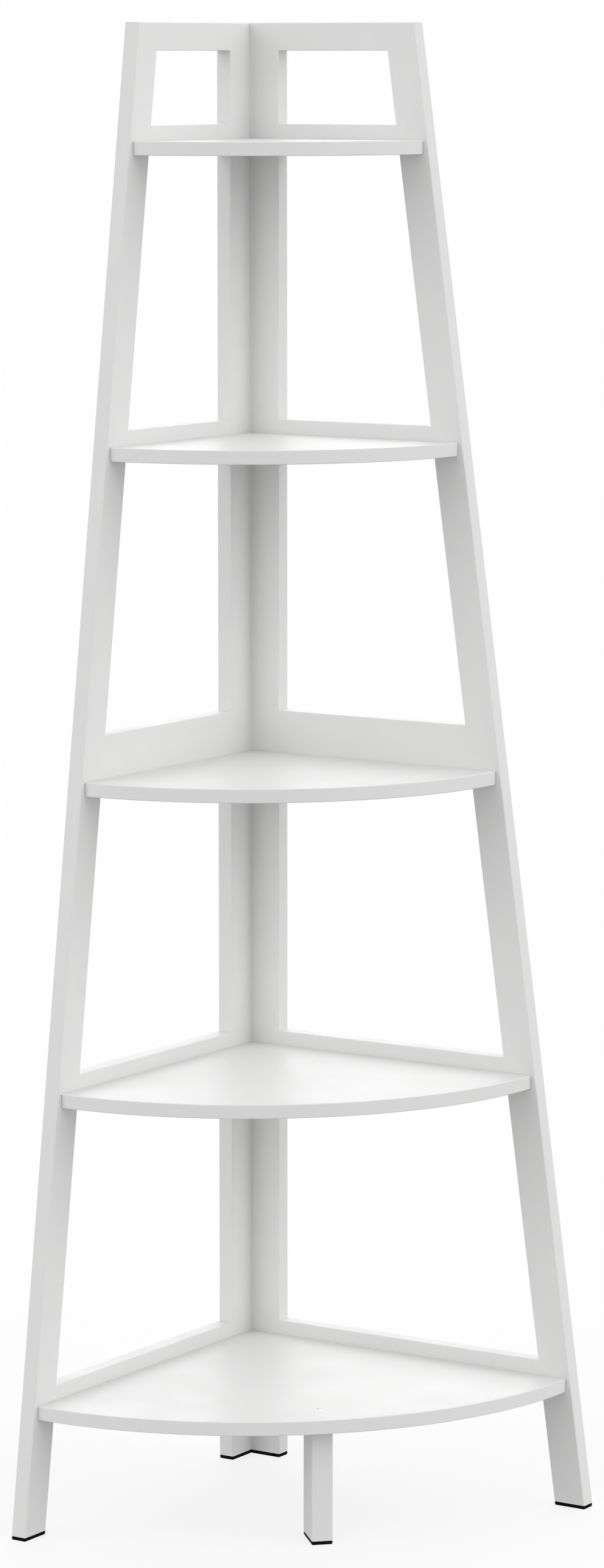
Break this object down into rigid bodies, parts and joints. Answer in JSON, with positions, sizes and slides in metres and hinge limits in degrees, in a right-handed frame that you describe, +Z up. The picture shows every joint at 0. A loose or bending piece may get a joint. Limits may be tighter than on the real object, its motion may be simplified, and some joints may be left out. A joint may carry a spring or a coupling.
{
  "type": "ladder shelf",
  "caption": "White corner ladder shelf: two open side frames taper upwards and carry quarter-round shelves, with a short middle leg and black foot pads.",
  "frame": {"origin": "on the floor, under the middle of the bounding box, so the two room walls are 226 mm away on the -X and +Y sides", "axes": "+Z up; the left side frame stands along the wall at -X and the right one along the wall at +Y; the open front faces between +X and -Y"},
  "size_m": [0.452, 0.452, 1.6],
  "materials": {
    "painted_frame_board": "matt white paint on medium-density fibreboard",
    "painted_shelf_board": "matt white paint on medium-density fibreboard",
    "beech_dowel": "bare beech",
    "zinc_screw": "zinc plated",
    "black_pad": "closed-cell foam rubber"
  },
  "bodies": {
    "root": {"corner_screws": "zinc_screw", "left_frame_dowels": "beech_dowel", "left_front_pad": "black_pad", "left_lower_leg": "painted_frame_board", "left_lower_middle_rail": "painted_frame_board", "left_lower_post": "painted_frame_board", "left_rail_1": "painted_frame_board", "left_rail_2": "painted_frame_board", "left_rail_4": "painted_frame_board", "left_rail_5": "painted_frame_board", "left_rear_pad": "black_pad", "left_shelf_screws": "zinc_screw", "left_storey_dowels": "beech_dowel", "left_storey_screws": "zinc_screw", "left_top_rail": "painted_frame_board", "left_upper_leg": "painted_frame_board", "left_upper_middle_rail": "painted_frame_board", "left_upper_post": "painted_frame_board", "middle_leg": "painted_frame_board", "middle_leg_dowels": "beech_dowel", "middle_leg_screw": "zinc_screw", "middle_pad": "black_pad", "right_frame_dowels": "beech_dowel", "right_front_pad": "black_pad", "right_lower_leg": "painted_frame_board", "right_lower_middle_rail": "painted_frame_board", "right_lower_post": "painted_frame_board", "right_rail_1": "painted_frame_board", "right_rail_2": "painted_frame_board", "right_rail_4": "painted_frame_board", "right_rail_5": "painted_frame_board", "right_rear_pad": "black_pad", "right_shelf_screws": "zinc_screw", "right_storey_dowels": "beech_dowel", "right_storey_screws": "zinc_screw", "right_top_rail": "painted_frame_board", "right_upper_leg": "painted_frame_board", "right_upper_middle_rail": "painted_frame_board", "right_upper_post": "painted_frame_board", "shelf_1": "painted_shelf_board", "shelf_2": "painted_shelf_board", "shelf_3": "painted_shelf_board", "shelf_4": "painted_shelf_board", "shelf_5": "painted_shelf_board"}
  },
  "joints": []
}
